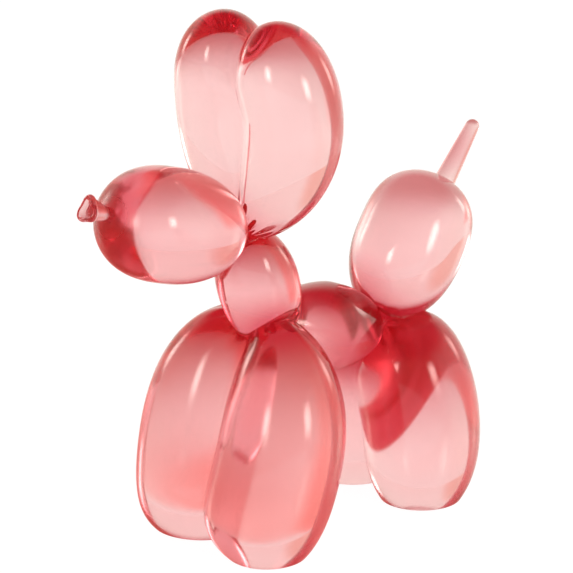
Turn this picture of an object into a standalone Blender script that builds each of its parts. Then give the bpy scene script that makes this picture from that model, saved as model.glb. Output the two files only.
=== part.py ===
"""Balloon dog sculpture: one solid casting of pink clear resin.

The figure copies a dog twisted from one long balloon. Ten fat bubbles meet in three twists,
at the head, over the front legs and over the hind legs. The knotted mouth of the balloon is
the nose, and its thin uninflated end stands up from the tail.
The dog faces -Y, its left side is +X, and its feet stand on the plane z = 0.
"""

import math

import bmesh
import bpy
from mathutils import Matrix, Vector

# The overall size. The figure keeps its pose and proportions as shares of this height.
HEIGHT = 0.250

# The three twists, where the bubbles meet, as shares of the height.
HEAD_TWIST = Vector((0.0, -0.1367, 0.5954)) * HEIGHT
FRONT_TWIST = Vector((0.0, -0.0805, 0.4247)) * HEIGHT
REAR_TWIST = Vector((0.0, 0.2283, 0.3429)) * HEIGHT

# How far a leg's middle line runs on below the floor, which cuts the foot flat.
FRONT_FOOT_SINK = 0.0195 * HEIGHT
HIND_FOOT_SINK = 0.0437 * HEIGHT

# Each bubble has a radius at its widest, a fullness (2 is an ellipsoid, more has blunter ends)
# and a lean (1 is widest half way, more moves the widest place on towards the far end).
SNOUT_RADIUS = 0.1070 * HEIGHT
SNOUT_FULLNESS = 2.61
SNOUT_LEAN = 1.22
SNOUT_REACH = Vector((0.0, -0.3107, 0.0946)) * HEIGHT

EAR_RADIUS = 0.0938 * HEIGHT
EAR_FULLNESS = 2.98
EAR_LEAN = 1.19
EAR_REACH = Vector((0.0075, 0.0156, 0.3683)) * HEIGHT
EAR_LOW_BEND = Vector((0.1002, 0.0975, 0.1467)) * HEIGHT
EAR_HIGH_BEND = Vector((0.1080, 0.0374, 0.3205)) * HEIGHT
EAR_SPREAD = 0.0104 * HEIGHT

NECK_RADIUS = 0.0784 * HEIGHT
NECK_FULLNESS = 2.22
NECK_LEAN = 1.03
NECK_BOW = 0.0189 * HEIGHT
NECK_ROOT = 0.0588 * HEIGHT
NECK_TOP = 0.0065 * HEIGHT

BODY_RADIUS = 0.0884 * HEIGHT
BODY_FULLNESS = 1.6
BODY_LEAN = 1.19
BODY_SAG = 0.0189 * HEIGHT
BODY_FRONT_ROOT = 0.0133 * HEIGHT
BODY_REAR_ROOT = -0.0040 * HEIGHT

TAIL_RADIUS = 0.1097 * HEIGHT
TAIL_FULLNESS = 2.65
TAIL_LEAN = 1.24
TAIL_REACH = Vector((0.0, 0.1679, 0.2648)) * HEIGHT

FRONT_LEG_RADIUS = 0.1198 * HEIGHT
FRONT_LEG_FULLNESS = 2.89
FRONT_LEG_LEAN = 1.31
# Where a leg's middle line bends and ends: sideways and lengthways from the twist as shares
# of the height, and down as a share of the whole drop.
FRONT_LEG_BENDS = ((0.1608, -0.0282, 0.2306), (0.0976, -0.0630, 0.7622), (0.0690, -0.1224, 1.0))
FRONT_LEG_SPREAD = 0.0036 * HEIGHT

HIND_LEG_RADIUS = 0.1168 * HEIGHT
HIND_LEG_FULLNESS = 3.40
HIND_LEG_LEAN = 1.20
HIND_LEG_BENDS = ((0.0405, 0.0294, 0.1153), (0.1123, 0.0706, 0.4582), (0.0871, 0.0038, 1.0))
HIND_LEG_SPREAD = 0.0136 * HEIGHT

# The thin uninflated end of the balloon, standing on the tail bubble.
TAIL_END_LENGTH = 0.146 * HEIGHT
TAIL_END_BASE_RADIUS = 0.0218 * HEIGHT
TAIL_END_TIP_RADIUS = 0.0130 * HEIGHT
TAIL_END_ANGLE = math.radians(51.7)
TAIL_END_OFFSET = 0.0250 * HEIGHT
# The round at its foot, which is sunk in the tail bubble, as a share of the radius there.
TAIL_END_FOOT_ROUND = 0.5

# The knotted mouth of the balloon: a short neck that flares into a rolled rim round a dish.
KNOT_LENGTH = 0.055 * HEIGHT
KNOT_NECK_RADIUS = 0.0132 * HEIGHT
KNOT_RIM_RADIUS = 0.0246 * HEIGHT
KNOT_ANGLE = math.radians(21.0)
KNOT_LIFT = 0.0052 * HEIGHT
# The rolled rim's own radius and the flat of the dish are shares of the rim's radius. The
# depth of the dish and the start of the flare are shares of the knot's length. The roll turns
# over from inside the dish to the outer side, in degrees.
KNOT_ROLL = 0.22
KNOT_DISH_SPREAD = 0.45
KNOT_DISH_DEPTH = 0.20
KNOT_FLARE_START = 0.22
KNOT_ROLL_FROM = 150.0
KNOT_ROLL_TURN = 220.0
KNOT_ROLL_FACETS = 6

# A straight bubble runs on past its first twist by this share of its length, and a ball of
# pinched rubber fills the hollow between the bubbles' ends.
TWIST_OVERLAP = 0.005
TWIST_BALL_RADIUS = 0.0290 * HEIGHT

# Facets round a bubble and along it.
AROUND = 28
ALONG = 18
SMALL_AROUND = 20
SMALL_ALONG = 12

CREASE_ANGLE = math.radians(30.0)
RESIN_PINK = (0.93, 0.36, 0.39, 1.0)
RESIN_IOR = 1.5
RESIN_ROUGHNESS = 0.03

NODE_NAME = "balloon_dog"


def clear_scene():
    for item in list(bpy.data.objects):
        bpy.data.objects.remove(item, do_unlink=True)


def new_collection(name):
    collection = bpy.data.collections.new(name)
    bpy.context.scene.collection.children.link(collection)
    return collection


def resin_material():
    material = bpy.data.materials.new("pink_clear_resin")
    material.use_nodes = True
    shader = material.node_tree.nodes["Principled BSDF"]
    shader.inputs["Base Color"].default_value = RESIN_PINK
    shader.inputs["Metallic"].default_value = 0.0
    shader.inputs["Roughness"].default_value = RESIN_ROUGHNESS
    shader.inputs["IOR"].default_value = RESIN_IOR
    shader.inputs["Transmission Weight"].default_value = 1.0
    return material


def on_curve(spine, s):
    """Point and direction at s, from 0 to 1, on the cubic curve with four control points."""
    a, b, c, d = spine
    rest = 1.0 - s
    point = a * rest**3 + b * (3 * rest**2 * s) + c * (3 * rest * s**2) + d * s**3
    heading = (b - a) * rest**2 + (c - b) * (2 * rest * s) + (d - c) * s**2
    return point, heading.normalized()


def straight(start, end, bow=Vector()):
    """Four control points of a line from start to end, pushed aside by bow in its middle."""
    step = (end - start) / 3
    return [start, start + step + bow, end - step + bow, end]


def run_on(start, end, before=0.0, after=0.0):
    """The two ends moved apart along their own line."""
    along = (end - start).normalized()
    return start - along * before, end + along * after


def bubble_radius(s, radius, fullness, lean):
    swell = abs(2.0 * min(max(s, 0.0), 1.0) ** lean - 1.0) ** fullness
    return radius * math.sqrt(max(1.0 - swell, 0.0))


def finger_radius(s, base, tip, length):
    """A tapered finger with a round far end and a small round at its foot."""
    width = base + (tip - base) * s
    from_tip = min((1.0 - s) * length, tip) / tip
    foot = base * TAIL_END_FOOT_ROUND
    from_foot = min(s * length, foot) / foot
    round_tip = math.sqrt(max(1.0 - (1.0 - from_tip) ** 2, 0.0))
    round_foot = math.sqrt(max(1.0 - (1.0 - from_foot) ** 2, 0.0))
    return width * round_tip * round_foot


def wrap_sphere(name, spine, radius_at, around, along):
    """A sphere's mesh laid round a curve: its axis follows the spine from s = 0 to s = 1."""
    shape = bmesh.new()
    half_facet = Matrix.Rotation(math.pi / around, 4, "Z")
    bmesh.ops.create_uvsphere(
        shape, u_segments=around, v_segments=along, radius=1.0, matrix=half_facet
    )
    for vert in shape.verts:
        s = (1.0 - vert.co.z) / 2.0
        centre, heading = on_curve(spine, s)
        sideways = heading.cross(Vector((1.0, 0.0, 0.0))).normalized()
        across = sideways.cross(heading)
        spoke = Vector((vert.co.x, vert.co.y))
        if spoke.length > 1e-6:
            spoke.normalize()
        vert.co = centre + (sideways * spoke.x + across * spoke.y) * radius_at(s)
    return finish_mesh(name, shape)


def finish_mesh(name, shape):
    mesh = bpy.data.meshes.new(name)
    shape.to_mesh(mesh)
    shape.free()
    return mesh


def cut_at_floor(mesh):
    """Cuts off what is below z = 0 and closes the cut, which is the sole of a foot."""
    shape = bmesh.new()
    shape.from_mesh(mesh)
    everything = list(shape.verts) + list(shape.edges) + list(shape.faces)
    bmesh.ops.bisect_plane(
        shape, geom=everything, dist=1e-6, plane_co=(0, 0, 0), plane_no=(0, 0, -1), clear_outer=True
    )
    rim = [edge for edge in shape.edges if edge.is_boundary]
    bmesh.ops.contextual_create(shape, geom=rim)
    bmesh.ops.recalc_face_normals(shape, faces=shape.faces)
    shape.to_mesh(mesh)
    shape.free()


def mirrored(mesh, name):
    """A copy of the mesh with left and right changed over."""
    shape = bmesh.new()
    shape.from_mesh(mesh)
    for vert in shape.verts:
        vert.co.x = -vert.co.x
    bmesh.ops.reverse_faces(shape, faces=shape.faces)
    return finish_mesh(name, shape)


def bubble(name, spine, radius, fullness, lean):
    def radius_at(s):
        return bubble_radius(s, radius, fullness, lean)

    return wrap_sphere(name, spine, radius_at, AROUND, ALONG)


def pair(mesh, name):
    mesh.name = name + "_left"
    return [mesh, mirrored(mesh, name + "_right")]


def leg(name, twist, spread, bends, sink, radius, fullness, lean):
    """Both legs of a pair, from the twist down to flat soles."""
    drop = twist.z + sink
    start = twist + Vector((spread, 0.0, 0.0))
    spine = [start]
    for aside, lengthways, down in bends:
        spine.append(Vector((aside * HEIGHT, twist.y + lengthways * HEIGHT, twist.z - down * drop)))
    mesh = bubble(name, spine, radius, fullness, lean)
    cut_at_floor(mesh)
    return pair(mesh, name)


def front_legs():
    return leg(
        "front_leg",
        FRONT_TWIST,
        FRONT_LEG_SPREAD,
        FRONT_LEG_BENDS,
        FRONT_FOOT_SINK,
        FRONT_LEG_RADIUS,
        FRONT_LEG_FULLNESS,
        FRONT_LEG_LEAN,
    )


def hind_legs():
    return leg(
        "hind_leg",
        REAR_TWIST,
        HIND_LEG_SPREAD,
        HIND_LEG_BENDS,
        HIND_FOOT_SINK,
        HIND_LEG_RADIUS,
        HIND_LEG_FULLNESS,
        HIND_LEG_LEAN,
    )


def ears():
    start = HEAD_TWIST + Vector((EAR_SPREAD, 0.0, 0.0))
    end = start + EAR_REACH
    spine = [start, HEAD_TWIST + EAR_LOW_BEND + Vector((EAR_SPREAD, 0.0, 0.0)), start + EAR_HIGH_BEND, end]
    return pair(bubble("ear", spine, EAR_RADIUS, EAR_FULLNESS, EAR_LEAN), "ear")


def snout():
    start, end = run_on(HEAD_TWIST, HEAD_TWIST + SNOUT_REACH, SNOUT_REACH.length * TWIST_OVERLAP)
    return [bubble("snout", straight(start, end), SNOUT_RADIUS, SNOUT_FULLNESS, SNOUT_LEAN)]


def neck():
    start, end = run_on(FRONT_TWIST, HEAD_TWIST, NECK_ROOT, NECK_TOP)
    spine = straight(start, end, Vector((0.0, NECK_BOW, 0.0)))
    return [bubble("neck", spine, NECK_RADIUS, NECK_FULLNESS, NECK_LEAN)]


def body():
    start, end = run_on(FRONT_TWIST, REAR_TWIST, BODY_FRONT_ROOT, BODY_REAR_ROOT)
    spine = straight(start, end, Vector((0.0, 0.0, -BODY_SAG)))
    return [bubble("body", spine, BODY_RADIUS, BODY_FULLNESS, BODY_LEAN)]


def tail():
    start, end = run_on(REAR_TWIST, REAR_TWIST + TAIL_REACH, TAIL_REACH.length * TWIST_OVERLAP)
    return [bubble("tail", straight(start, end), TAIL_RADIUS, TAIL_FULLNESS, TAIL_LEAN)]


def twist_balls():
    meshes = []
    for name, centre in (("head", HEAD_TWIST), ("front", FRONT_TWIST), ("rear", REAR_TWIST)):
        shape = bmesh.new()
        bmesh.ops.create_uvsphere(
            shape,
            u_segments=SMALL_AROUND,
            v_segments=SMALL_ALONG,
            radius=TWIST_BALL_RADIUS,
            matrix=Matrix.Translation(centre),
        )
        meshes.append(finish_mesh(name + "_twist", shape))
    return meshes


def tail_end():
    """The finger stands on the far end of the tail bubble, behind its middle."""
    along = TAIL_REACH.normalized()
    behind = Vector((0.0, along.z, -along.y))
    foot = REAR_TWIST + TAIL_REACH + behind * TAIL_END_OFFSET
    heading = Vector((0.0, math.cos(TAIL_END_ANGLE), math.sin(TAIL_END_ANGLE)))
    start = foot - heading * TAIL_END_BASE_RADIUS * TAIL_END_FOOT_ROUND

    def radius_at(s):
        return finger_radius(s, TAIL_END_BASE_RADIUS, TAIL_END_TIP_RADIUS, TAIL_END_LENGTH)

    spine = straight(start, start + heading * TAIL_END_LENGTH)
    return [wrap_sphere("tail_end", spine, radius_at, SMALL_AROUND, SMALL_ALONG)]


def knot_profile():
    """Outline of the knot, as (radius, height along its axis), from the dish out and down.

    Its root is sunk in the snout as deep as the rim's radius.
    """
    roll = KNOT_RIM_RADIUS * KNOT_ROLL
    dish = KNOT_LENGTH * (1.0 - KNOT_DISH_DEPTH)
    outline = [(0.0, dish), (KNOT_RIM_RADIUS * KNOT_DISH_SPREAD, dish)]
    for step in range(KNOT_ROLL_FACETS):
        angle = math.radians(KNOT_ROLL_FROM - KNOT_ROLL_TURN * step / (KNOT_ROLL_FACETS - 1))
        radius = KNOT_RIM_RADIUS - roll + roll * math.cos(angle)
        outline.append((radius, KNOT_LENGTH - roll + roll * math.sin(angle)))
    outline.append((KNOT_NECK_RADIUS, KNOT_LENGTH * KNOT_FLARE_START))
    outline.append((KNOT_NECK_RADIUS, -KNOT_RIM_RADIUS))
    outline.append((0.0, -KNOT_RIM_RADIUS))
    return outline


def knot(helpers):
    """The turned knot, which points on from the end of the snout."""
    outline = knot_profile()
    mesh = bpy.data.meshes.new("knot")
    edges = [(i, i + 1) for i in range(len(outline) - 1)]
    mesh.from_pydata([(radius, 0.0, height) for radius, height in outline], edges, [])
    item = bpy.data.objects.new("knot", mesh)
    helpers.objects.link(item)
    item.location = HEAD_TWIST + SNOUT_REACH + Vector((0.0, 0.0, KNOT_LIFT))
    item.rotation_euler = (math.radians(90.0) - KNOT_ANGLE, 0.0, 0.0)
    turned = item.modifiers.new("turned", "SCREW")
    turned.axis = "Z"
    turned.steps = SMALL_AROUND
    turned.render_steps = SMALL_AROUND
    turned.use_merge_vertices = True
    turned.merge_threshold = 0.0001
    return item


def helper_object(mesh, helpers):
    item = bpy.data.objects.new(mesh.name, mesh)
    helpers.objects.link(item)
    return item


def cast_in_one(helpers, collection, material):
    """All bubbles joined into the one solid that is cast."""
    first, *others = list(helpers.objects)
    joined = bpy.data.objects.new(NODE_NAME, first.data.copy())
    collection.objects.link(joined)
    for other in others:
        union = joined.modifiers.new("join_" + other.name, "BOOLEAN")
        union.operation = "UNION"
        union.solver = "EXACT"
        union.object = other
    graph = bpy.context.evaluated_depsgraph_get()
    mesh = bpy.data.meshes.new_from_object(joined.evaluated_get(graph))
    joined.modifiers.clear()
    joined.data = mesh
    mesh.name = NODE_NAME
    mesh.materials.clear()
    mesh.materials.append(material)
    mesh.shade_smooth()
    mesh.set_sharp_from_angle(angle=CREASE_ANGLE)
    return joined


def main():
    clear_scene()
    collection = new_collection("balloon_dog_sculpture")
    helpers = new_collection("bubbles_to_join")
    for make in (body, neck, snout, ears, front_legs, hind_legs, tail, twist_balls, tail_end):
        for mesh in make():
            helper_object(mesh, helpers)
    knot(helpers)
    for item in helpers.objects:
        item.hide_render = True
        item.display_type = "WIRE"
    cast_in_one(helpers, collection, resin_material())


main()
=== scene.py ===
# %% [markdown]
# # A balloon dog cast in clear pink resin
#
# The real object is a shelf ornament, 250 mm tall. It copies a dog that is twisted from one long
# balloon, but it is heavy and solid: clear resin with a pink dye, poured in a mould and polished.
# The lesson loads the plain solid of the part, builds the same figure again with a fine skin,
# gives it a glassy material that darkens with depth, and sets it in soft studio light.

# %% The fixed frame
import math

import bmesh
import bpy
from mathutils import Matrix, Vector


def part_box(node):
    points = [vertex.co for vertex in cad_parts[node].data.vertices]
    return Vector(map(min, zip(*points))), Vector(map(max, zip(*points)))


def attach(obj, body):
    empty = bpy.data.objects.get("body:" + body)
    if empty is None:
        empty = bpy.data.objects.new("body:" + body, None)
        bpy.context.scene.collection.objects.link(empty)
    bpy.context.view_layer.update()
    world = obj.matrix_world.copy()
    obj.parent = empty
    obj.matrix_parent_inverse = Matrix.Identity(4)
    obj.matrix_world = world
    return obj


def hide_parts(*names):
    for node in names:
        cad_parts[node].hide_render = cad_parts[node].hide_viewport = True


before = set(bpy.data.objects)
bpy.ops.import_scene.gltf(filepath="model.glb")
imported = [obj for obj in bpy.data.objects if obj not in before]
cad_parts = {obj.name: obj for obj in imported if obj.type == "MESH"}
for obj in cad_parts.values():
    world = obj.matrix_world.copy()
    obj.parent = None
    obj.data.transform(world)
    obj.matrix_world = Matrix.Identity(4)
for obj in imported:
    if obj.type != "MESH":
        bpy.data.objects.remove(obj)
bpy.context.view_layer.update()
FLOOR_LEVEL = 0.0

low_corner, high_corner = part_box("balloon_dog")
HEIGHT = 0.250
print("the solid is", [round(1000 * side, 1) for side in high_corner - low_corner], "mm")

# %% [markdown]
# ## The camera
#
# A long lens far away keeps the bubbles round at the edge of the picture. The camera looks down a
# little, over the dog's left shoulder. It is placed by an angle round the dog, an angle down and a
# distance, because those three are easy to read off a photograph and to change one at a time.

# %% The camera
CAMERA_ROUND = math.radians(46.18)
CAMERA_DOWN = math.radians(17.54)
CAMERA_DISTANCE = 1.4114
LENS_MM = 187.13
SENSOR_MM = 36.0
LOOK_AT = Vector((-0.0095, 0.0055, 0.1129))


def aim(item, from_point, at_point):
    """Puts a camera or a light at one point and turns it to face another."""
    item.location = from_point
    item.rotation_euler = (at_point - from_point).to_track_quat("-Z", "Y").to_euler()


def direction(round_angle, up_angle):
    """The way from the dog to something that stands at an angle round it and above it."""
    level = math.cos(up_angle)
    return Vector((math.sin(round_angle) * level, -math.cos(round_angle) * level, math.sin(up_angle)))


def add_object(name, data):
    item = bpy.data.objects.new(name, data)
    bpy.context.scene.collection.objects.link(item)
    return item


lens = bpy.data.cameras.new("camera")
lens.sensor_width = SENSOR_MM
lens.lens = LENS_MM
camera = add_object("camera", lens)
aim(camera, LOOK_AT + direction(CAMERA_ROUND, CAMERA_DOWN) * CAMERA_DISTANCE, LOOK_AT)
bpy.context.scene.camera = camera
print("the camera is at", [round(value, 3) for value in camera.location])

# %% [markdown]
# ## How a bubble is described
#
# Each bubble of the balloon is a sausage round a bent middle line. The line is a cubic curve with
# four points. Its radius follows one formula with three numbers: how wide, how full its ends are,
# and whether it leans towards its near or far end. All places are shares of the figure's height.

# %% The numbers of the figure


def share(x, y, z):
    return Vector((x, y, z)) * HEIGHT


HEAD_TWIST = share(0.0, -0.1367, 0.5954)
FRONT_TWIST = share(0.0, -0.0805, 0.4247)
REAR_TWIST = share(0.0, 0.2283, 0.3429)


def straight(start, end, bow=Vector(), before=0.0, after=0.0):
    """Four points of a line that runs on a little past its ends and bows in its middle."""
    along = (end - start).normalized()
    start = start - along * before * HEIGHT
    end = end + along * after * HEIGHT
    step = (end - start) / 3
    return [start, start + step + bow * HEIGHT, end - step + bow * HEIGHT, end]


def leg_line(twist, spread, sink, bends):
    """A leg's middle line. Each bend is aside and lengthways, and down as a share of the drop."""
    drop = twist.z + sink * HEIGHT
    line = [twist + share(spread, 0, 0)]
    for aside, lengthways, down in bends:
        line.append(Vector((aside * HEIGHT, twist.y + lengthways * HEIGHT, twist.z - down * drop)))
    return line


EAR_FOOT = HEAD_TWIST + share(0.0104, 0, 0)
SNOUT_REACH = share(0.0, -0.3107, 0.0946)
TAIL_REACH = share(0.0, 0.1679, 0.2648)
FRONT_LEG_BENDS = ((0.1608, -0.0282, 0.2306), (0.0976, -0.0630, 0.7622), (0.0690, -0.1224, 1.0))
HIND_LEG_BENDS = ((0.0405, 0.0294, 0.1153), (0.1123, 0.0706, 0.4582), (0.0871, 0.0038, 1.0))

# name: middle line, radius, fullness, lean, both sides
BUBBLES = {
    "body": (
        straight(FRONT_TWIST, REAR_TWIST, Vector((0, 0, -0.0189)), 0.0133, -0.0040), 0.0884, 1.60, 1.19, False
    ),
    "neck": (
        straight(FRONT_TWIST, HEAD_TWIST, Vector((0, 0.0189, 0)), 0.0588, 0.0065), 0.0784, 2.22, 1.03, False
    ),
    "snout": (straight(HEAD_TWIST, HEAD_TWIST + SNOUT_REACH, before=0.0016), 0.1070, 2.61, 1.22, False),
    "tail": (straight(REAR_TWIST, REAR_TWIST + TAIL_REACH, before=0.0016), 0.1097, 2.65, 1.24, False),
    "ear": (
        [
            EAR_FOOT,
            EAR_FOOT + share(0.1002, 0.0975, 0.1467),
            EAR_FOOT + share(0.1080, 0.0374, 0.3205),
            EAR_FOOT + share(0.0075, 0.0156, 0.3683),
        ],
        0.0938, 2.98, 1.19, True,
    ),
    "front_leg": (leg_line(FRONT_TWIST, 0.0036, 0.0195, FRONT_LEG_BENDS), 0.1198, 2.89, 1.31, True),
    "hind_leg": (leg_line(REAR_TWIST, 0.0136, 0.0437, HIND_LEG_BENDS), 0.1168, 3.40, 1.20, True),
}
print("kinds of bubble:", ", ".join(BUBBLES))

# %% [markdown]
# ## Small helpers for node trees
#
# A node tree can be drawn with the mouse, but a script builds it the same way each time. These
# helpers add one node and feed it, so that a formula reads nearly as it does on paper.

# %% Small helpers for node trees


def put(tree, kind, values=(), **settings):
    """Adds a node and feeds it, in the order of its sockets, with numbers or other nodes' outputs."""
    item = tree.nodes.new(kind)
    for name, value in settings.items():
        setattr(item, name, value)
    sockets = [socket for socket in item.inputs if socket.enabled]
    for socket, value in zip(sockets, values):
        if isinstance(value, bpy.types.NodeSocket):
            tree.links.new(value, socket)
        elif value is not None:
            socket.default_value = value
    return item


def first_output(item):
    return next(socket for socket in item.outputs if socket.enabled)


def calc(tree, operation, *values):
    return first_output(put(tree, "ShaderNodeMath", values, operation=operation))


def vector_calc(tree, operation, *values):
    return first_output(put(tree, "ShaderNodeVectorMath", values, operation=operation))


def blend_points(tree, amount, a, b):
    return first_output(put(tree, "ShaderNodeMix", (amount, a, b), data_type="VECTOR"))


def scaled(tree, vector, factor):
    item = put(tree, "ShaderNodeVectorMath", (), operation="SCALE")
    tree.links.new(vector, item.inputs[0])
    tree.links.new(factor, item.inputs["Scale"])
    return item.outputs[0]


def new_tree(name, inputs):
    """A Geometry Nodes tree with a named input for each size, and its group input node."""
    tree = bpy.data.node_groups.new(name, "GeometryNodeTree")
    for label, kind in inputs:
        tree.interface.new_socket(label, in_out="INPUT", socket_type="NodeSocket" + kind)
    tree.interface.new_socket("Geometry", in_out="OUTPUT", socket_type="NodeSocketGeometry")
    return tree, tree.nodes.new("NodeGroupInput").outputs


def end_tree(tree, geometry, material):
    """Every tree ends alike: real geometry, and the resin on it."""
    real = put(tree, "GeometryNodeRealizeInstances", (geometry,))
    coated = put(tree, "GeometryNodeSetMaterial", (real.outputs[0], None, material))
    put(tree, "NodeGroupOutput", (coated.outputs[0],))


def tell(tree):
    sockets = [item for item in tree.interface.items_tree if item.in_out == "INPUT"]
    print(tree.name, "has", len(tree.nodes), "nodes and", len(sockets), "inputs")


# %% [markdown]
# ## A bubble from one rule, in Geometry Nodes
#
# The bubbles could be modelled by hand, but ten of them would then drift apart in style. One node
# tree makes them all. It starts with a ball, reads how far each point is from the ball's top, walks
# that far along the middle line by blending its four points three times over, and pushes the point
# out to the radius of the formula. Folds fan out from the near end, as they do beside a twist.

# %% The bubble tree
LINE_POINTS = ("Near end", "Near bend", "Far bend", "Far end")
LINE_INPUTS = [(name, "Vector") for name in LINE_POINTS]
BUBBLE_INPUTS = LINE_INPUTS + [
    ("Radius", "Float"), ("Fullness", "Float"), ("Lean", "Float"),
    ("Around", "Int"), ("Along", "Int"), ("Pleats", "Int"), ("Pleat depth", "Float"),
    ("Pleat reach", "Float"), ("Unevenness", "Float"), ("Resin", "Material"),
]
WOBBLE_SCALE = 18.0
WOBBLE_DETAIL = 1.0


def middle_line(tree, inputs, s):
    """Blends neighbouring points until one is left. The last two give the heading."""
    points = [inputs[name] for name in LINE_POINTS]
    while len(points) > 2:
        points = [blend_points(tree, s, a, b) for a, b in zip(points, points[1:])]
    heading = vector_calc(tree, "NORMALIZE", vector_calc(tree, "SUBTRACT", points[1], points[0]))
    return blend_points(tree, s, *points), heading


def swell(tree, inputs, s):
    """Radius at s: the full radius times the root of 1 - |2 s^lean - 1|^fullness."""
    leaning = calc(tree, "POWER", s, inputs["Lean"])
    off_middle = calc(tree, "ABSOLUTE", calc(tree, "MULTIPLY_ADD", leaning, 2.0, -1.0))
    shortfall = calc(tree, "POWER", off_middle, inputs["Fullness"])
    full = calc(tree, "SQRT", calc(tree, "MAXIMUM", calc(tree, "SUBTRACT", 1.0, shortfall), 0.0))
    return calc(tree, "MULTIPLY", full, inputs["Radius"])


def round_and_along(tree):
    """Reads off the ball how far each point is from its top, from 0 to 1, and its angle round the axis."""
    place = tree.nodes.new("GeometryNodeInputPosition").outputs[0]
    x, y, z = put(tree, "ShaderNodeSeparateXYZ", (place,)).outputs
    return calc(tree, "MULTIPLY_ADD", z, -0.5, 0.5), calc(tree, "ARCTAN2", y, x)


def line_frame(tree, inputs, s, turn):
    """The middle line's point at s, and the way straight out from it at an angle round it."""
    centre, heading = middle_line(tree, inputs, s)
    sideways = vector_calc(tree, "NORMALIZE", vector_calc(tree, "CROSS_PRODUCT", heading, (1.0, 0.0, 0.0)))
    across = vector_calc(tree, "CROSS_PRODUCT", sideways, heading)
    out = vector_calc(
        tree, "ADD",
        scaled(tree, sideways, calc(tree, "COSINE", turn)),
        scaled(tree, across, calc(tree, "SINE", turn)),
    )
    return centre, out


def bubble_tree():
    tree, inputs = new_tree("Twisted bubble", BUBBLE_INPUTS)
    ball = put(tree, "GeometryNodeMeshUVSphere", (inputs["Around"], inputs["Along"], 1.0))
    s, turn = round_and_along(tree)
    centre, out = line_frame(tree, inputs, s, turn)
    radius = calc(tree, "MULTIPLY", swell(tree, inputs, s), pleated(tree, inputs, s, turn))
    radius = calc(tree, "ADD", radius, uneven(tree, inputs, centre, out, s))
    skin = vector_calc(tree, "ADD", centre, scaled(tree, out, radius))
    shaped = put(tree, "GeometryNodeSetPosition", (ball.outputs[0], None, skin))
    end_tree(tree, shaped.outputs[0], inputs["Resin"])
    return tree


def pleated(tree, inputs, s, turn):
    """Folds that run out from the near end and fade away along the bubble."""
    wave = calc(tree, "COSINE", calc(tree, "MULTIPLY", turn, inputs["Pleats"]))
    wave = calc(tree, "MULTIPLY_ADD", wave, 0.5, 0.5)
    fade = calc(tree, "DIVIDE", s, inputs["Pleat reach"])
    fade = calc(tree, "EXPONENT", calc(tree, "MULTIPLY", calc(tree, "MULTIPLY", fade, fade), -1.0))
    fold = calc(tree, "MULTIPLY", calc(tree, "MULTIPLY", wave, fade), inputs["Pleat depth"])
    return calc(tree, "SUBTRACT", 1.0, fold)


def uneven(tree, inputs, centre, out, s):
    """A slow hand-made wobble of the skin, the same on each run, that is gone at both ends."""
    spot = vector_calc(tree, "ADD", centre, scaled(tree, out, inputs["Radius"]))
    noise = put(tree, "ShaderNodeTexNoise", (spot, WOBBLE_SCALE, WOBBLE_DETAIL))
    signed = calc(tree, "SUBTRACT", noise.outputs[0], 0.5)
    middle = calc(tree, "MULTIPLY", s, calc(tree, "SUBTRACT", 1.0, s))
    return calc(tree, "MULTIPLY", calc(tree, "MULTIPLY", signed, inputs["Unevenness"]), middle)


TWISTED_BUBBLE = bubble_tree()
tell(TWISTED_BUBBLE)

# %% [markdown]
# ## The thin tail end
#
# Where the balloon was never blown up it stays a thin, tapering tube. A cone would be too stiff for
# it. It is the same wrapped ball as a bubble, with another radius rule: wide at its foot, narrow at
# its far end, and rounded at both.

# %% The tail end tree
TAIL_END_INPUTS = LINE_INPUTS + [
    ("Foot radius", "Float"), ("Tip radius", "Float"), ("Length", "Float"), ("Foot round", "Float"),
    ("Around", "Int"), ("Along", "Int"), ("Resin", "Material"),
]


def rounded_end(tree, distance, reach):
    """A quarter circle: 0 at the end itself, 1 once the distance from it is the reach."""
    near = calc(tree, "MINIMUM", calc(tree, "DIVIDE", distance, reach), 1.0)
    left = calc(tree, "SUBTRACT", 1.0, near)
    inside = calc(tree, "SUBTRACT", 1.0, calc(tree, "MULTIPLY", left, left))
    return calc(tree, "SQRT", calc(tree, "MAXIMUM", inside, 0.0))


def tail_end_tree():
    tree, inputs = new_tree("Tapered tail end", TAIL_END_INPUTS)
    ball = put(tree, "GeometryNodeMeshUVSphere", (inputs["Around"], inputs["Along"], 1.0))
    s, turn = round_and_along(tree)
    centre, out = line_frame(tree, inputs, s, turn)
    slimmer = calc(tree, "SUBTRACT", inputs["Tip radius"], inputs["Foot radius"])
    radius = calc(tree, "MULTIPLY_ADD", slimmer, s, inputs["Foot radius"])
    from_foot = calc(tree, "MULTIPLY", s, inputs["Length"])
    from_tip = calc(tree, "SUBTRACT", inputs["Length"], from_foot)
    foot_reach = calc(tree, "MULTIPLY", inputs["Foot radius"], inputs["Foot round"])
    radius = calc(tree, "MULTIPLY", radius, rounded_end(tree, from_foot, foot_reach))
    radius = calc(tree, "MULTIPLY", radius, rounded_end(tree, from_tip, inputs["Tip radius"]))
    skin = vector_calc(tree, "ADD", centre, scaled(tree, out, radius))
    shaped = put(tree, "GeometryNodeSetPosition", (ball.outputs[0], None, skin))
    end_tree(tree, shaped.outputs[0], inputs["Resin"])
    return tree


TAPERED_END = tail_end_tree()
tell(TAPERED_END)

# %% [markdown]
# ## The knot
#
# At the nose the balloon's mouth is tied off, and its lip rolls over as on every rubber balloon. It
# could be sculpted, but a profile that is turned round its axis gives the roll in a few points.
# Three soft corners then pull the mouth out of round, because a tied balloon is never quite round.

# %% The knot tree
KNOT_INPUTS = [
    ("Profile", "Object"), ("Place", "Vector"), ("Tilt", "Float"), ("Length", "Float"),
    ("Corners", "Float"), ("Corner depth", "Float"), ("Corner turn", "Float"),
    ("Around", "Int"), ("Along", "Int"), ("Resin", "Material"),
]


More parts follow.
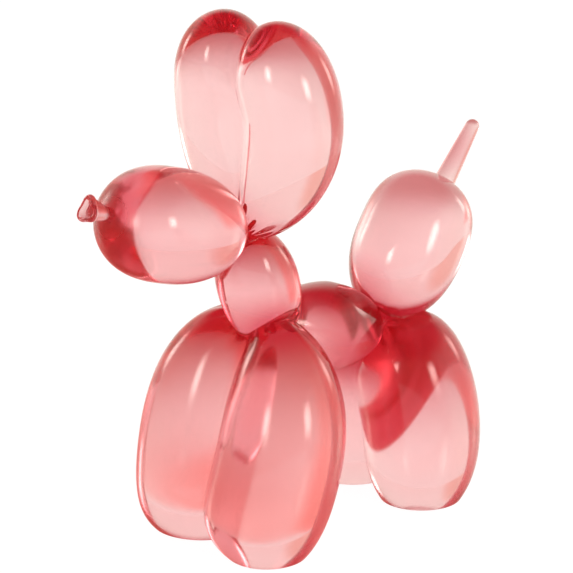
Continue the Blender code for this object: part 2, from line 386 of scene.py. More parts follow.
def knot_tree():
    """Turns a profile, read as radius and height, round the knot's axis, with a three-cornered mouth."""
    tree, inputs = new_tree("Rolled knot", KNOT_INPUTS)
    ball = put(tree, "GeometryNodeMeshUVSphere", (inputs["Around"], inputs["Along"], 1.0))
    place = tree.nodes.new("GeometryNodeInputPosition").outputs[0]
    x, y, z = put(tree, "ShaderNodeSeparateXYZ", (place,)).outputs
    turn = calc(tree, "ARCTAN2", y, x)
    along = calc(tree, "DIVIDE", calc(tree, "ARCCOSINE", z), math.pi)
    profile = put(tree, "GeometryNodeObjectInfo", (inputs["Profile"],)).outputs["Geometry"]
    sample = put(tree, "GeometryNodeSampleCurve", (), mode="FACTOR", use_all_curves=True)
    tree.links.new(profile, sample.inputs["Curves"])
    tree.links.new(along, sample.inputs["Factor"])
    radius, _, height = put(tree, "ShaderNodeSeparateXYZ", (sample.outputs["Position"],)).outputs
    flare = calc(tree, "MAXIMUM", calc(tree, "DIVIDE", height, inputs["Length"]), 0.0)
    lobes = calc(tree, "COSINE", calc(tree, "MULTIPLY_ADD", turn, inputs["Corners"], inputs["Corner turn"]))
    lobes = calc(tree, "MULTIPLY", calc(tree, "MULTIPLY", lobes, inputs["Corner depth"]), flare)
    radius = calc(tree, "MULTIPLY", radius, calc(tree, "ADD", 1.0, lobes))
    flat = put(
        tree, "ShaderNodeCombineXYZ",
        (calc(tree, "MULTIPLY", radius, calc(tree, "COSINE", turn)),
         calc(tree, "MULTIPLY", radius, calc(tree, "SINE", turn)), height),
    ).outputs[0]
    shaped = put(tree, "GeometryNodeSetPosition", (ball.outputs[0], None, flat))
    lean = put(tree, "ShaderNodeCombineXYZ", (inputs["Tilt"], 0.0, 0.0)).outputs[0]
    moved = tree.nodes.new("GeometryNodeTransform")
    tree.links.new(shaped.outputs[0], moved.inputs["Geometry"])
    tree.links.new(inputs["Place"], moved.inputs["Translation"])
    tree.links.new(lean, moved.inputs["Rotation"])
    end_tree(tree, moved.outputs[0], inputs["Resin"])
    return tree


ROLLED_KNOT = knot_tree()
tell(ROLLED_KNOT)

# %% [markdown]
# ## The rings at the twists
#
# Where two bubbles are wrung apart the rubber gathers in a tight, crinkled ring. A torus would look
# turned on a lathe. So a circle is bent to follow the crease, shaken by a fixed noise, and only then
# given its thickness.

# %% The twist ring tree
RING_INPUTS = [
    ("Centre", "Vector"), ("Width", "Float"), ("Depth", "Float"), ("Side rise", "Float"),
    ("Back rise", "Float"), ("Squareness", "Float"), ("Back share", "Float"), ("Rubber radius", "Float"),
    ("Crinkle", "Float"), ("Around", "Int"), ("Resin", "Material"),
]
RISE_SOFTNESS = 0.01
CRINKLE_SCALE = 5.0
CRINKLE_DETAIL = 2.0
RUBBER_SIDES = 12


def ring_tree():
    """A thin crinkled ring that follows the crease round a twist, like rubber that is wrung tight."""
    tree, inputs = new_tree("Twist ring", RING_INPUTS)
    circle = put(tree, "GeometryNodeCurvePrimitiveCircle", (inputs["Around"], 1.0), mode="RADIUS")
    place = tree.nodes.new("GeometryNodeInputPosition").outputs[0]
    x, y, _ = put(tree, "ShaderNodeSeparateXYZ", (place,)).outputs
    off_middle = calc(tree, "SQRT", calc(tree, "MULTIPLY_ADD", x, x, RISE_SOFTNESS))
    rise = calc(tree, "MULTIPLY", off_middle, inputs["Side rise"])
    rise = calc(tree, "MULTIPLY_ADD", calc(tree, "MAXIMUM", y, 0.0), inputs["Back rise"], rise)
    squared = []
    for side in (x, y):
        size = calc(tree, "POWER", calc(tree, "ABSOLUTE", side), inputs["Squareness"])
        squared.append(calc(tree, "MULTIPLY", size, calc(tree, "SIGN", side)))
    wide = calc(tree, "MULTIPLY", squared[0], inputs["Width"])
    deep = calc(tree, "MULTIPLY", squared[1], inputs["Depth"])
    deep = calc(tree, "MINIMUM", deep, calc(tree, "MULTIPLY", deep, inputs["Back share"]))
    bent = put(tree, "ShaderNodeCombineXYZ", (wide, deep, rise)).outputs[0]
    noise = put(tree, "ShaderNodeTexNoise", (place, CRINKLE_SCALE, CRINKLE_DETAIL)).outputs["Color"]
    shake = scaled(tree, vector_calc(tree, "SUBTRACT", noise, (0.5, 0.5, 0.5)), inputs["Crinkle"])
    target = vector_calc(tree, "ADD", vector_calc(tree, "ADD", bent, shake), inputs["Centre"])
    line = put(tree, "GeometryNodeSetPosition", (circle.outputs[0], None, target))
    rubber = put(
        tree, "GeometryNodeCurvePrimitiveCircle", (RUBBER_SIDES, inputs["Rubber radius"]), mode="RADIUS"
    )
    tube = tree.nodes.new("GeometryNodeCurveToMesh")
    tree.links.new(line.outputs[0], tube.inputs["Curve"])
    tree.links.new(rubber.outputs[0], tube.inputs["Profile Curve"])
    end_tree(tree, tube.outputs[0], inputs["Resin"])
    return tree


TWIST_RING = ring_tree()
tell(TWIST_RING)

# %% [markdown]
# ## The resin
#
# A clear resin bends light at its skin and soaks it up inside: thin places stay pale, and where
# light runs a long way through the casting it comes out deep red. A colour on the skin alone would
# look like tinted glass, alike in thin and thick places. So most of the colour is in the volume, as
# absorption, and a trace of scattering beside it makes the resin a little milky.

# %% The clear body of the resin
RESIN_IOR = 1.49
DYE_COLOUR = (0.937, 0.155, 0.280, 1.0)
DYE_DENSITY = 14.5
HAZE_COLOUR = (1.0, 0.75, 0.70, 1.0)
HAZE_DENSITY = 0.8
HAZE_FORWARD = 0.6


def clear_resin():
    material = bpy.data.materials.new("pink_clear_resin")
    material.use_nodes = True
    tree = material.node_tree
    shader = tree.nodes["Principled BSDF"]
    shader.inputs["Transmission Weight"].default_value = 1.0
    shader.inputs["IOR"].default_value = RESIN_IOR
    dye_and_painted_shade = put(tree, "ShaderNodeVolumeAbsorption", (DYE_COLOUR, DYE_DENSITY))
    haze = put(tree, "ShaderNodeVolumeScatter", (HAZE_COLOUR, HAZE_DENSITY, HAZE_FORWARD))
    both = put(tree, "ShaderNodeAddShader", (dye_and_painted_shade.outputs[0], haze.outputs[0]))
    tree.links.new(both.outputs[0], tree.nodes["Material Output"].inputs["Volume"])
    return material


RESIN = clear_resin()
print("the resin bends light by", RESIN_IOR, "and soaks it up at a density of", DYE_DENSITY)

# %% [markdown]
# ## Painted shade in places
#
# The figure is deeper in colour at the twists, on the body and at the tops of the legs and ears than
# an even dye makes it, from the way light runs inside the casting. That darkness is painted shade, a
# darker tint on the skin. The knot and the thin tail end get a pinker tint, so that they look coloured
# right through. A second material would show an edge. A tint on the skin, in soft zones round named
# places, fades into its surroundings.

# %% The tint of the skin and its painted shade
SKIN_TINT = (1.0, 0.97, 0.95, 1.0)
# Painted shade round the three twists, where the bubbles meet: the skin is darker there.
TWIST_PAINTED_SHADE = (0.86, 0.10, 0.18, 1.0)
TWIST_REACH = 0.095 * HEIGHT
THIN_TINT = (0.84, 0.42, 0.45, 1.0)
KNOT_MIDDLE = HEAD_TWIST + SNOUT_REACH * 1.10
KNOT_REACH = 0.075 * HEIGHT
TAIL_END_MIDDLE = REAR_TWIST + TAIL_REACH + share(0, 0.0500, 0.0500)
TAIL_END_REACH = 0.100 * HEIGHT
SOFT_EDGE = 2.0

# middle, reach, edge, painted shade colour
# Painted shade on the top and at the end of the body: the skin is darker in soft zones there.
BODY_TOP_PAINTED_SHADE = (share(0, 0.0880, 0.4480), 0.112 * HEIGHT, 4.0, (0.78, 0.03, 0.09, 1.0))
BODY_END_PAINTED_SHADE = (share(0.0, 0.1500, 0.3300), 0.1120 * HEIGHT, 4.0, (0.62, 0.02, 0.05, 1.0))
# Painted shade at the tops of the legs and ears, on both sides: the skin is darker there.
PAINTED_SHADE_ON_BOTH_SIDES = {
    "front leg top": (
        FRONT_TWIST + share(0.0840, -0.0300, -0.0300), 0.0800 * HEIGHT, 4.0, (0.68, 0.02, 0.07, 1.0)
    ),
    "hind leg top": (share(0.0900, 0.2300, 0.2600), 0.0950 * HEIGHT, 2.5, (0.68, 0.06, 0.12, 1.0)),
    "ear top": (share(0.0640, -0.1080, 1.0000), 0.0800 * HEIGHT, 2.0, (0.84, 0.32, 0.42, 1.0)),
}


def near_to(tree, spot, place, reach, edge=SOFT_EDGE):
    """1 at a place and almost 0 at twice the reach from it; a higher edge value falls off faster."""
    away = put(tree, "ShaderNodeVectorMath", (spot, tuple(place)), operation="DISTANCE").outputs["Value"]
    share_of_reach = calc(tree, "POWER", calc(tree, "DIVIDE", away, reach), edge)
    return calc(tree, "EXPONENT", calc(tree, "MULTIPLY", share_of_reach, -1.0))


def blend_colours(tree, amount, a, b):
    return first_output(put(tree, "ShaderNodeMix", (amount, a, b), data_type="RGBA"))


# Painted shade: blends a colour towards a darker one near a place.
def painted_shade_near(tree, tint, spot, middle, reach, edge, dye_and_painted_shade):
    return blend_colours(tree, near_to(tree, spot, middle, reach, edge), tint, dye_and_painted_shade)


def skin_tint_and_painted_shade(tree):
    spot = tree.nodes.new("ShaderNodeTexCoord").outputs["Object"]
    painted_twist_shade = 0.0
    for twist in (HEAD_TWIST, FRONT_TWIST, REAR_TWIST):
        painted_twist_shade = calc(tree, "MAXIMUM", painted_twist_shade, near_to(tree, spot, twist, TWIST_REACH))
    tint = painted_shade_near(tree, SKIN_TINT, spot, *BODY_TOP_PAINTED_SHADE)
    tint = blend_colours(tree, painted_twist_shade, tint, TWIST_PAINTED_SHADE)
    for side in (-1, 1):
        for middle, reach, edge, dye_and_painted_shade in PAINTED_SHADE_ON_BOTH_SIDES.values():
            place = Vector((side * middle.x, middle.y, middle.z))
            tint = painted_shade_near(tree, tint, spot, place, reach, edge, dye_and_painted_shade)
    tint = painted_shade_near(tree, tint, spot, *BODY_END_PAINTED_SHADE)
    knot = near_to(tree, spot, KNOT_MIDDLE, KNOT_REACH)
    tail_end = near_to(tree, spot, TAIL_END_MIDDLE, TAIL_END_REACH)
    return blend_colours(tree, calc(tree, "MAXIMUM", knot, tail_end), tint, THIN_TINT)


RESIN_NODES = RESIN.node_tree
RESIN_SHADER = RESIN_NODES.nodes["Principled BSDF"]
# The base colour carries the tint of the skin and its painted shade.
RESIN_NODES.links.new(skin_tint_and_painted_shade(RESIN_NODES), RESIN_SHADER.inputs["Base Color"])
# These zones are painted shade: a darker tint on the skin.
print("zones of deeper dye on both sides:", ", ".join(PAINTED_SHADE_ON_BOTH_SIDES))

# %% [markdown]
# ## The polish
#
# A casting is buffed by hand. It shines most where the wheel reaches well, stays a little duller low
# on the legs, and is dullest round the knot. One roughness would make it look like plain glass, so
# the roughness follows the height, and the distance from the nose.

# %% The polish
RESIN_ROUGHNESS = 0.05
LEG_ROUGHNESS = 0.11
LEG_POLISH_LOW = 0.085
LEG_POLISH_HIGH = 0.115
NOSE_ROUGHNESS = 0.32
NOSE_REACH = 0.085 * HEIGHT
NOSE_EDGE = 3.0
NOSE_END = HEAD_TWIST + SNOUT_REACH * 0.90


def smooth_step(tree, value, start, end, low, high):
    """Runs smoothly from low at start to high at end."""
    item = put(tree, "ShaderNodeMapRange", (value, start, end, low, high), interpolation_type="SMOOTHSTEP")
    return item.outputs[0]


def polish(tree):
    """How rough the skin is: least above the legs, more on them, and most round the knot."""
    spot = tree.nodes.new("ShaderNodeTexCoord").outputs["Object"]
    height = put(tree, "ShaderNodeSeparateXYZ", (spot,)).outputs[2]
    rough = smooth_step(tree, height, LEG_POLISH_LOW, LEG_POLISH_HIGH, LEG_ROUGHNESS, RESIN_ROUGHNESS)
    nose = near_to(tree, spot, NOSE_END, NOSE_REACH, NOSE_EDGE)
    return calc(tree, "MAXIMUM", rough, calc(tree, "MULTIPLY", nose, NOSE_ROUGHNESS))


RESIN_NODES.links.new(polish(RESIN_NODES), RESIN_SHADER.inputs["Roughness"])
print("roughness:", RESIN_ROUGHNESS, "above,", LEG_ROUGHNESS, "on the legs,", NOSE_ROUGHNESS, "at the nose")

# %% [markdown]
# ## Making the bubbles
#
# Each bubble gets the tree as a modifier, with its own numbers. An input of the tree is set by the
# identifier of its socket, because that is how a modifier stores it. The skin is a hundredth slimmer
# than the plain solid, so that no ripple of it stands out. A small ball closes each twist inside.

# %% Making the bubbles
AROUND = 128
ALONG = 80
PLEATS = 11
PLEAT_DEPTH = 0.22
PLEAT_REACH = 0.075
UNEVENNESS = 0.004
SKIN_SHARE = 0.990
TWIST_BALL_RADIUS = 0.0290
BALL_FULLNESS = 2.0
NO_LEAN = 1.0


def set_inputs(modifier, values):
    for item in modifier.node_group.interface.items_tree:
        if item.item_type == "SOCKET" and item.name in values:
            modifier[item.identifier] = values[item.name]


def grown(name, tree, values):
    """Runs a tree on an empty mesh and keeps what it makes as a plain mesh object."""
    item = add_object(name, bpy.data.meshes.new(name))
    modifier = item.modifiers.new("grow", "NODES")
    modifier.node_group = tree
    set_inputs(modifier, values)
    graph = bpy.context.evaluated_depsgraph_get()
    mesh = bpy.data.meshes.new_from_object(item.evaluated_get(graph))
    item.modifiers.clear()
    item.data = mesh
    return item


castings = bpy.data.collections.new("bubbles_to_cast")


def cast_piece(item):
    """Moves a finished piece of the balloon to the collection that is cast."""
    castings.objects.link(item)
    bpy.context.scene.collection.objects.unlink(item)
    print(item.name, len(item.data.vertices), "points")


def line_values(line):
    return dict(zip(LINE_POINTS, [tuple(point) for point in line]))


def blow(name, line, radius, fullness, lean):
    values = line_values(line)
    values.update({
        "Radius": radius * HEIGHT * SKIN_SHARE, "Fullness": fullness, "Lean": lean,
        "Around": AROUND, "Along": ALONG, "Pleats": PLEATS, "Pleat depth": PLEAT_DEPTH,
        "Pleat reach": PLEAT_REACH, "Unevenness": UNEVENNESS, "Resin": RESIN,
    })
    cast_piece(grown(name, TWISTED_BUBBLE, values))


for name, (line, radius, fullness, lean, both) in BUBBLES.items():
    blow(name, line, radius, fullness, lean)
    if both:
        other_side = [Vector((-point.x, point.y, point.z)) for point in line]
        blow(name + "_right", other_side, radius, fullness, lean)

for name, centre in (("head", HEAD_TWIST), ("front", FRONT_TWIST), ("rear", REAR_TWIST)):
    reach = share(0, 0, TWIST_BALL_RADIUS)
    blow(name + "_twist", straight(centre - reach, centre + reach), TWIST_BALL_RADIUS, BALL_FULLNESS, NO_LEAN)

# %% [markdown]
# ## Making the tail end
#
# The tail end stands up from the side of the tail bubble, at an angle of its own, because it was
# pulled out past the last twist. Its foot is sunk a little, so that the union finds it.

# %% The tail end
TAIL_END_ANGLE = math.radians(51.7)
TAIL_END_FOOT_RADIUS = 0.0218 * HEIGHT
TAIL_END_TIP_RADIUS = 0.0130 * HEIGHT
TAIL_END_FOOT_ROUND = 0.2
TAIL_END_OFFSET = 0.0250 * HEIGHT
TAIL_END_LENGTH = 0.1448 * HEIGHT
TAIL_END_STEPS = 48


def tail_end():
    along = TAIL_REACH.normalized()
    behind = Vector((0, along.z, -along.y))
    heading = Vector((0, math.cos(TAIL_END_ANGLE), math.sin(TAIL_END_ANGLE)))
    foot = REAR_TWIST + TAIL_REACH + behind * TAIL_END_OFFSET
    start = foot - heading * TAIL_END_FOOT_RADIUS / 2
    line = straight(start, start + heading * TAIL_END_LENGTH)
    values = line_values(line)
    values.update({
        "Foot radius": TAIL_END_FOOT_RADIUS, "Tip radius": TAIL_END_TIP_RADIUS, "Length": TAIL_END_LENGTH,
        "Foot round": TAIL_END_FOOT_ROUND, "Around": TAIL_END_STEPS, "Along": TAIL_END_STEPS, "Resin": RESIN,
    })
    cast_piece(grown("tail_end", TAPERED_END, values))


tail_end()

# %% [markdown]
# ## Making the knot
#
# The profile starts in the middle of the mouth, dips into it, rolls over the rim in a part of a
# circle and runs down to a root inside the snout. The finished profile is only a tool, so it goes
# when the knot is made.

# %% The knot
KNOT_LENGTH = 0.055 * HEIGHT
KNOT_NECK_RADIUS = 0.0132 * HEIGHT
KNOT_RIM_RADIUS = 0.0246 * HEIGHT
KNOT_ROLL = 0.22 * KNOT_RIM_RADIUS
KNOT_ANGLE = math.radians(21.0)
KNOT_LIFT = share(0, 0, 0.0052)
KNOT_AROUND = 64
KNOT_ALONG = 96
CORNERS = 3.0
CORNER_DEPTH = 0.16
CORNER_TURN = 1.0
MOUTH_FLOOR = 0.80 * KNOT_LENGTH
MOUTH_RADIUS = 0.45 * KNOT_RIM_RADIUS
NECK_TOP = 0.22 * KNOT_LENGTH
ROLL_START = 150
ROLL_END = -70
ROLL_STEP = -20


def knot_profile():
    """From the middle of the mouth out over the rolled rim and down to the root, inside the snout."""
    outline = [(0.0, MOUTH_FLOOR), (MOUTH_RADIUS, MOUTH_FLOOR)]
    for degrees in range(ROLL_START, ROLL_END - 1, ROLL_STEP):
        angle = math.radians(degrees)
        radius = KNOT_RIM_RADIUS - KNOT_ROLL + KNOT_ROLL * math.cos(angle)
        outline.append((radius, KNOT_LENGTH - KNOT_ROLL + KNOT_ROLL * math.sin(angle)))
    outline.append((KNOT_NECK_RADIUS, NECK_TOP))
    outline.append((KNOT_NECK_RADIUS, -KNOT_RIM_RADIUS))
    outline.append((0.0, -KNOT_RIM_RADIUS))
    curve = bpy.data.curves.new("knot_profile", "CURVE")
    curve.dimensions = "3D"
    spline = curve.splines.new("POLY")
    spline.points.add(len(outline) - 1)
    for point, (radius, height) in zip(spline.points, outline):
        point.co = (radius, 0.0, height, 1.0)
    return add_object("knot_profile", curve)


def knot():
    values = {
        "Profile": knot_profile(), "Place": tuple(HEAD_TWIST + SNOUT_REACH + KNOT_LIFT),
        "Tilt": math.radians(90.0) - KNOT_ANGLE, "Length": KNOT_LENGTH, "Corners": CORNERS,
        "Corner depth": CORNER_DEPTH, "Corner turn": CORNER_TURN, "Around": KNOT_AROUND,
        "Along": KNOT_ALONG, "Resin": RESIN,
    }
    cast_piece(grown("knot", ROLLED_KNOT, values))
    bpy.data.objects.remove(values["Profile"])


knot()

# %% [markdown]
# ## Making the rings
#
# Each ring lies where its crease shows, so its place and reach are real sizes in millimetres, and
# its sides and back rise or fall with the bubbles that it parts.

# %% The rings
# name: centre, width, depth, side rise, back rise, all in mm
RINGS = {
    "front_ring": ((0.0, -16.5, 98.8), 17.8, 15.6, 10.0, 15.0),
    "head_ring": ((0.0, -32.5, 139.5), 10.4, 9.6, 8.5, 11.0),
    "rear_ring": ((0.0, 65.0, 100.0), 16.4, 16.2, -9.0, -14.0),
}
RUBBER_RADIUS = 0.0007
RING_CRINKLE = 0.0025
RING_SQUARENESS = 0.75
RING_BACK_SHARE = 0.6
RING_AROUND = 144
MM = 0.001

for name, (centre, width, depth, side_rise, back_rise) in RINGS.items():
    values = {
        "Centre": tuple(value * MM for value in centre), "Width": width * MM, "Depth": depth * MM,
        "Side rise": side_rise * MM, "Back rise": back_rise * MM, "Squareness": RING_SQUARENESS,
        "Back share": RING_BACK_SHARE, "Rubber radius": RUBBER_RADIUS, "Crinkle": RING_CRINKLE,
        "Around": RING_AROUND, "Resin": RESIN,
    }
    cast_piece(grown(name, TWIST_RING, values))

# %% [markdown]
# ## One casting
#
# The bubbles overlap, and resin has no skin inside it, so the overlapping parts go: a Boolean union
# in a second tree joins the whole collection. Then the feet are cut flat at the floor.

# %% One casting
CREASE_ANGLE = math.radians(35.0)
ON_THE_CUT = 1e-6


def casting_tree():
    tree, inputs = new_tree("Cast in one", [("Bubbles", "Collection"), ("Resin", "Material")])
    parts = put(tree, "GeometryNodeCollectionInfo", (inputs["Bubbles"], True))
    union = put(tree, "GeometryNodeMeshBoolean", (), operation="UNION", solver="MANIFOLD")
    tree.links.new(parts.outputs[0], union.inputs[1])
    end_tree(tree, union.outputs[0], inputs["Resin"])
    return tree


def cut_at_floor(mesh):
    shape = bmesh.new()
    shape.from_mesh(mesh)
    everything = list(shape.verts) + list(shape.edges) + list(shape.faces)
    bmesh.ops.bisect_plane(
        shape, geom=everything, dist=ON_THE_CUT, clear_outer=True,
        plane_co=(0, 0, FLOOR_LEVEL), plane_no=(0, 0, -1),
    )
    rim = [edge for edge in shape.edges if edge.is_boundary]
    bmesh.ops.holes_fill(shape, edges=rim)
    bmesh.ops.triangulate(shape, faces=shape.faces)
    shape.to_mesh(mesh)
    shape.free()


casting = grown("balloon_dog_casting", casting_tree(), {"Bubbles": castings, "Resin": RESIN})
cut_at_floor(casting.data)
casting.data.shade_smooth()
casting.data.set_sharp_from_angle(angle=CREASE_ANGLE)
print("the casting has", len(casting.data.polygons), "faces")

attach(casting, "root")
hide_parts("balloon_dog")

# %% [markdown]
# ## The room
#
# A clear thing shows its surroundings upside down inside itself, so the room matters as much as the
# lamps. This room is bright behind the dog and warm and dark in front of it. Its ceiling is dark
# red, and one warm patch shines in from the dog's right. The room stays where it is when the camera
# moves, so the colours inside the dog change from side to side, as in a real studio.

# %% The room
BACK_LIGHT = (1.05, 1.13, 1.02, 1.0)
FRONT_LIGHT = (0.80, 0.33, 0.29, 1.0)
CEILING_LIGHT = (0.62, 0.08, 0.13, 1.0)
PATCH_LIGHT = (1.00, 0.78, 0.64, 1.0)
TO_PATCH = direction(math.radians(-102.0), math.radians(4.0))
PATCH_START = math.cos(math.radians(20.0))
PATCH_FULL = math.cos(math.radians(6.0))
TO_DARK_SIDE = direction(CAMERA_ROUND - math.radians(30.0), 0.0)
BAND_TOP = math.sin(math.radians(22.0))
CEILING_START = math.sin(math.radians(50.0))
DARK_START = -0.15
DARK_FULL = 0.35


def share_towards(tree, way, target):
    """How far a point or a way lies towards a target: their dot product."""
    item = put(tree, "ShaderNodeVectorMath", (way, tuple(target)), operation="DOT_PRODUCT")
    return item.outputs["Value"]


def frontness(tree, way, start, end):
    """0 on the bright side of the room and 1 on its dark side, with a soft change between the two."""
    return smooth_step(tree, share_towards(tree, way, TO_DARK_SIDE), start, end, 0.0, 1.0)


def studio_world():
    world = bpy.data.worlds.new("studio")
    bpy.context.scene.world = world
    world.use_nodes = True
    tree = world.node_tree
    way = tree.nodes.new("ShaderNodeTexCoord").outputs["Generated"]
    height = put(tree, "ShaderNodeSeparateXYZ", (way,)).outputs[2]
    around = blend_colours(tree, frontness(tree, way, DARK_START, DARK_FULL), BACK_LIGHT, FRONT_LIGHT)
    patch = share_towards(tree, way, TO_PATCH)
    warm = smooth_step(tree, patch, PATCH_START, PATCH_FULL, 0.0, 1.0)
    around = blend_colours(tree, warm, around, PATCH_LIGHT)
    level = smooth_step(tree, height, BAND_TOP, CEILING_START, 0.0, 1.0)
    light = blend_colours(tree, level, around, CEILING_LIGHT)
    tree.links.new(light, tree.nodes["Background"].inputs["Color"])


studio_world()
print("the dark side of the room is towards", [round(value, 2) for value in TO_DARK_SIDE])

# %% [markdown]
# ## Four soft boxes
#
# A real soft box is a lamp behind a cloth, brightest in its middle. Two in front make the tall
# streaks of shine, and two from the sides light the rims. A plain area light has a hard edge that
# would show in each streak, so its strength fades from its middle. The two in front are hidden from
# light that has passed through the resin, where they would show as bright specks.

# %% Soft boxes
SOFTBOX_WARMTH = (1.0, 0.95, 0.86)
SOFTBOX_WIDTH = 0.46
SOFTBOX_HEIGHT = 0.66
SOFTBOX_CORE = 0.12
SOFTBOX_DISTANCE = 1.35
# name: degrees round the dog, degrees up, brightness
SOFTBOXES = {
    "softbox_left": (14.0, 18.0, 12.0),
    "softbox_right": (91.0, 14.0, 12.0),
    "rim_left": (-76.0, 14.0, 6.0),
    "rim_right": (166.0, 14.0, 4.5),
}


def softbox(name, round_angle, up_angle, brightness):
    """A rectangle of light that fades towards its edges."""
    data = bpy.data.lights.new(name, "AREA")
    data.shape = "RECTANGLE"
    data.size = SOFTBOX_WIDTH
    data.size_y = SOFTBOX_HEIGHT
    data.energy = brightness * SOFTBOX_WIDTH * SOFTBOX_HEIGHT * math.pi
    data.color = SOFTBOX_WARMTH
    data.use_nodes = True
    tree = data.node_tree
    place = tree.nodes.new("ShaderNodeNewGeometry").outputs["Parametric"]
    across = put(tree, "ShaderNodeSeparateXYZ", (place,))
    level = 1.0
    for side in across.outputs[:2]:
        off = calc(tree, "ABSOLUTE", calc(tree, "MULTIPLY_ADD", side, 2.0, -1.0))
        level = calc(tree, "MULTIPLY", level, smooth_step(tree, off, SOFTBOX_CORE, 1.0, 1.0, 0.0))
    tree.links.new(level, tree.nodes["Emission"].inputs["Strength"])
    item = add_object(name, data)
    way = direction(math.radians(round_angle), math.radians(up_angle))
    aim(item, LOOK_AT + way * SOFTBOX_DISTANCE, LOOK_AT)
    item.visible_camera = False
    item.visible_transmission = not name.startswith("softbox")


for name, (round_angle, up_angle, brightness) in SOFTBOXES.items():
    softbox(name, round_angle, up_angle, brightness)
print("soft boxes:", ", ".join(SOFTBOXES))

# %% [markdown]
# ## What the resin sees of the floor
#
# The dog stands on a pale, glossy floor. At a flat angle such a floor mirrors the bright backdrop,
# and from above it shows the pink light that the dog throws on it. A mirror and true coloured light
# would need very many samples to come out clean inside the resin. So the floor glows by itself, with
# painted light: a painted reflection of the backdrop where it is seen flat, painted pink light from
# above and in front of the dog, and a painted shadow in a band beside it.

# %% The glow of the floor
STEEP_LIGHT = (0.70, 0.44, 0.40, 1.0)
FLAT_LIGHT = (0.72, 0.84, 0.78, 1.0)
SHADE_LIGHT = (0.82, 0.22, 0.20, 1.0)
SHADE_STRENGTH = 0.90
SHADE_MIDDLE = -0.015
SHADE_HALF_WIDTH = 0.03
SHADE_SPREAD = 0.25
SHADE_LENGTH = 0.75
SHADE_START = -0.05
SHADE_CORE = 0.5
SHADE_NARROWEST = 0.01
FRONT_FLOOR_LIGHT = (0.72, 0.19, 0.15, 1.0)
FRONT_FLOOR_START = -0.16
FRONT_FLOOR_FULL = 0.06
NEAR_LIGHT = (1.00, 0.95, 0.92, 1.0)
NEAR_START = -0.05
NEAR_FULL = 0.15
TO_CAMERA = direction(CAMERA_ROUND, 0.0)
TO_SIDE = direction(CAMERA_ROUND + math.radians(90.0), 0.0)


def floor_light(tree, flatness):
    """The floor the resin sees: painted reflection when flat, painted pink light from above, painted shadow.
    """
    light = blend_colours(tree, flatness, STEEP_LIGHT, FLAT_LIGHT)
    place = tree.nodes.new("ShaderNodeTexCoord").outputs["Object"]
    x, y, _ = put(tree, "ShaderNodeSeparateXYZ", (place,)).outputs
    aside = calc(tree, "ABSOLUTE", calc(tree, "SUBTRACT", y, SHADE_MIDDLE))
    half_width = calc(tree, "MULTIPLY_ADD", x, -SHADE_SPREAD, SHADE_HALF_WIDTH)
    off_middle = calc(tree, "DIVIDE", aside, calc(tree, "MAXIMUM", half_width, SHADE_NARROWEST))
    across = smooth_step(tree, off_middle, SHADE_CORE, 1.0, 1.0, 0.0)
    along = smooth_step(tree, x, -SHADE_LENGTH, -SHADE_LENGTH / 2, 0.0, 1.0)
    along = calc(tree, "MULTIPLY", along, smooth_step(tree, x, 2 * SHADE_START, SHADE_START, 1.0, 0.0))
    shade = calc(tree, "MULTIPLY", calc(tree, "MULTIPLY", across, along), SHADE_STRENGTH)
    light = blend_colours(tree, shade, light, SHADE_LIGHT)
    in_front = frontness(tree, place, FRONT_FLOOR_START, FRONT_FLOOR_FULL)
    light = blend_colours(tree, in_front, light, FRONT_FLOOR_LIGHT)
    ahead = share_towards(tree, place, TO_CAMERA)
    beside = share_towards(tree, place, TO_SIDE)
    wedge = calc(tree, "SUBTRACT", ahead, calc(tree, "ABSOLUTE", beside))
    wedge = smooth_step(tree, wedge, NEAR_START, NEAR_FULL, 0.0, 1.0)
    return blend_colours(tree, calc(tree, "MULTIPLY", wedge, flatness), light, NEAR_LIGHT)


print("the shade beside the dog is", SHADE_LENGTH, "m long")

# %% [markdown]
# ## The floor
#
# A plain white floor with a faint shadow sets a casting off best, but it isn't the floor that the
# resin needs. So a Light Path node mixes two: the camera sees plain white, and all other light sees
# the glow with a soft shine on it.

# %% The floor
FLOOR_SIZE = 12.0
FLOOR_GAP = 0.0004
FACING_START = 0.25
FACING_FULL = 0.80
SHINE_START = 0.0
SHINE_END = 0.20
FLOOR_SHINE = (0.36, 0.36, 0.34, 1.0)
NO_SHINE = (0.0, 0.0, 0.0, 1.0)
FLOOR_SHINE_ROUGHNESS = 0.22
FLOOR_GREY = (0.14, 0.14, 0.14, 1.0)
FLOOR_WHITE = (1.0, 1.0, 1.0, 1.0)
FLOOR_WHITE_STRENGTH = 0.97


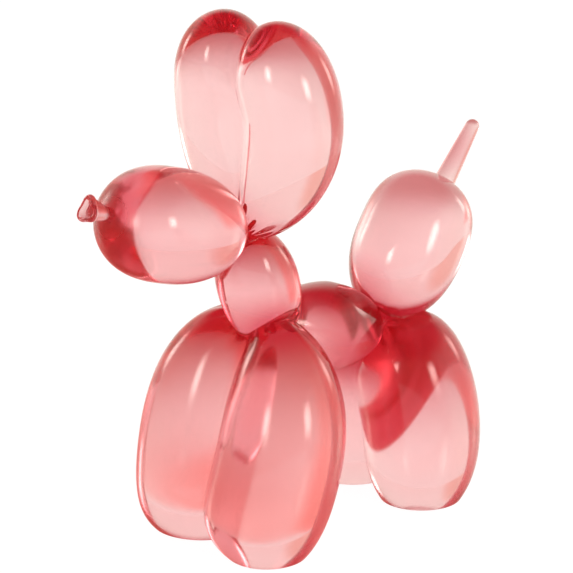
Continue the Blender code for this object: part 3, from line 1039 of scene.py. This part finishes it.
def floor_material():
    material = bpy.data.materials.new("white_floor")
    material.use_nodes = True
    tree = material.node_tree
    tree.nodes.clear()
    out = tree.nodes.new("ShaderNodeOutputMaterial")
    facing = put(tree, "ShaderNodeLayerWeight", (0.5,)).outputs["Facing"]
    flatness = smooth_step(tree, facing, FACING_START, FACING_FULL, 0.0, 1.0)
    glow = put(tree, "ShaderNodeEmission", (floor_light(tree, flatness), 1.0))
    place = tree.nodes.new("ShaderNodeTexCoord").outputs["Object"]
    behind = calc(tree, "SUBTRACT", 1.0, frontness(tree, place, SHINE_START, SHINE_END))
    shining = calc(tree, "MULTIPLY", flatness, behind)
    shine_colour = blend_colours(tree, shining, NO_SHINE, FLOOR_SHINE)
    shine = put(tree, "ShaderNodeBsdfAnisotropic", (shine_colour, FLOOR_SHINE_ROUGHNESS))
    lit = put(tree, "ShaderNodeAddShader", (glow.outputs[0], shine.outputs[0]))
    faint = put(tree, "ShaderNodeBsdfDiffuse", (FLOOR_GREY,))
    white = put(tree, "ShaderNodeEmission", (FLOOR_WHITE, FLOOR_WHITE_STRENGTH))
    shown = put(tree, "ShaderNodeAddShader", (faint.outputs[0], white.outputs[0]))
    path = tree.nodes.new("ShaderNodeLightPath")
    mix = put(tree, "ShaderNodeMixShader", (path.outputs["Is Camera Ray"], lit.outputs[0], shown.outputs[0]))
    tree.links.new(mix.outputs[0], out.inputs["Surface"])
    return material


def pale_floor():
    mesh = bpy.data.meshes.new("floor")
    shape = bmesh.new()
    bmesh.ops.create_grid(shape, x_segments=1, y_segments=1, size=FLOOR_SIZE / 2)
    bmesh.ops.translate(shape, verts=shape.verts, vec=(0, 0, FLOOR_LEVEL - FLOOR_GAP))
    shape.to_mesh(mesh)
    shape.free()
    mesh.materials.append(floor_material())
    floor = add_object("floor", mesh)
    print("the floor is", FLOOR_SIZE, "m wide")


pale_floor()

# %% [markdown]
# ## How light is followed
#
# Light that enters a solid casting is thrown back and forth inside it many times. With few bounces
# those paths end black, as dark patches, so the limits are high. The plain Standard view keeps the
# floor white.

# %% How light is followed
BOUNCES = 200
HAZE_BOUNCES = 24
scene = bpy.context.scene
scene.view_settings.view_transform = "Standard"
scene.cycles.max_bounces = BOUNCES
scene.cycles.volume_bounces = HAZE_BOUNCES
scene.cycles.transmission_bounces = BOUNCES
scene.cycles.glossy_bounces = BOUNCES
print("light is followed for", BOUNCES, "bounces, and for", HAZE_BOUNCES, "in the haze")
